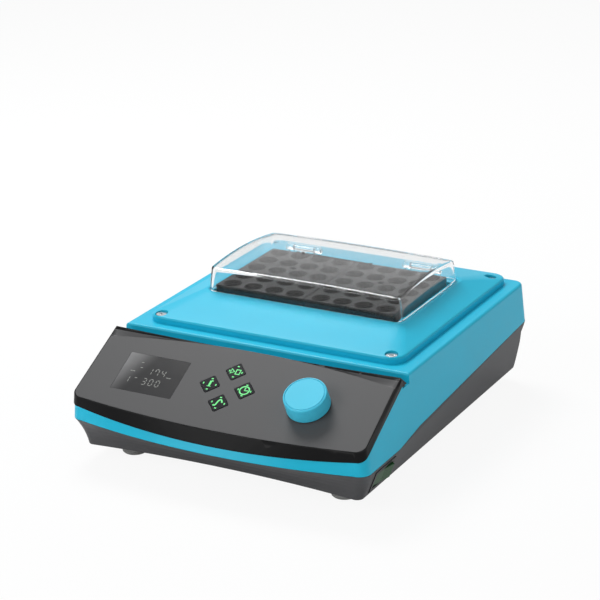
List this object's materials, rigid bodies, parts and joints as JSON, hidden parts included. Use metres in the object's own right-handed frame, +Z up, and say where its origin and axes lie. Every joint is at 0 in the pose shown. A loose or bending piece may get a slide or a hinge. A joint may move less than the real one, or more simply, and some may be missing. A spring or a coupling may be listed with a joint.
{
  "type": "dry bath incubator",
  "caption": "Bench-top dry block heater with two drilled heating blocks under a clear hinged cover, a sloping panel with display, keys and knob, and a power rocker.",
  "frame": {"origin": "on the bench, below the middle of the case", "axes": "+X to the user's right, +Y to the rear, +Z up"},
  "size_m": [0.2439, 0.3147, 0.1178],
  "materials": {
    "case_blue": "satin moulded ABS",
    "case_grey": "fine-textured moulded ABS",
    "panel_black": "smooth moulded ABS",
    "panel_film": "printed polyester film",
    "key_black": "printed key caps",
    "display_glass": "tinted window",
    "clear_cover": "clear polycarbonate",
    "block_metal": "dark anodised aluminium",
    "plain_aluminium": "machined aluminium",
    "steel": "stainless steel",
    "brass": "plated brass",
    "rubber": "pale elastomer",
    "silicone": "silicone heating mat",
    "foam": "insulating foam",
    "board": "glass-fibre circuit board",
    "black_plastic": "black nylon",
    "rocker_green": "green switch rocker"
  },
  "bodies": {
    "root": {"upper_housing": "case_blue", "base_tray": "case_grey", "top_deck": "case_blue", "deck_screws": "steel", "case_screws": "steel", "heating_block_left": "block_metal", "heating_block_right": "block_metal", "heater_plate": "plain_aluminium", "heater_mat": "silicone", "plate_standoffs": "steel", "insulation_jacket": "foam", "temperature_sensor": "steel", "thermal_cutout": "plain_aluminium", "hinge_brackets": "steel", "hinge_pins": "steel", "control_panel": "panel_black", "panel_overlay": "panel_film", "display_window": "display_glass", "display_module": "black_plastic", "control_board": "board", "panel_screws": "steel", "tact_switches": "black_plastic", "rotary_encoder": "brass", "encoder_nut": "brass", "power_switch_frame": "black_plastic", "power_inlet": "black_plastic", "power_board": "board", "power_board_posts": "brass", "feet": "rubber", "foot_screws": "steel"},
    "cover": {"lid": "clear_cover"},
    "dial": {"knob": "case_blue", "encoder_shaft": "steel"},
    "rocker": {"power_rocker": "rocker_green"},
    "key_temperature": {"button_temperature": "key_black"},
    "key_start_stop": {"button_start_stop": "key_black"},
    "key_time": {"button_time": "key_black"},
    "key_program": {"button_program": "key_black"}
  },
  "joints": [
    {"name": "lid_hinge", "type": "hinge", "parent": "root", "child": "cover", "pos_m": [0, 0.099, 0.101], "axis": [-1, 0, 0], "range_deg": [0, 98]},
    {"name": "knob_spin", "type": "hinge", "parent": "root", "child": "dial", "pos_m": [0.0632, -0.11648, 0.06676], "axis": [0, -0.4695, 0.8829], "continuous": true},
    {"name": "temperature_press", "type": "slide", "parent": "root", "child": "key_temperature", "axis": [0, 0.4695, -0.8829], "range_m": [0, 0.0008], "stiffness_N_per_m": 500, "springref_m": -0.0005},
    {"name": "start_stop_press", "type": "slide", "parent": "root", "child": "key_start_stop", "axis": [0, 0.4695, -0.8829], "range_m": [0, 0.0008], "stiffness_N_per_m": 500, "springref_m": -0.0005},
    {"name": "time_press", "type": "slide", "parent": "root", "child": "key_time", "axis": [0, 0.4695, -0.8829], "range_m": [0, 0.0008], "stiffness_N_per_m": 500, "springref_m": -0.0005},
    {"name": "program_press", "type": "slide", "parent": "root", "child": "key_program", "axis": [0, 0.4695, -0.8829], "range_m": [0, 0.0008], "stiffness_N_per_m": 500, "springref_m": -0.0005},
    {"name": "rocker_swing", "type": "hinge", "parent": "root", "child": "rocker", "pos_m": [0.11334, -0.1095, 0.02355], "axis": [0.3455, 0, 0.9384], "range_deg": [0, 14]}
  ]
}
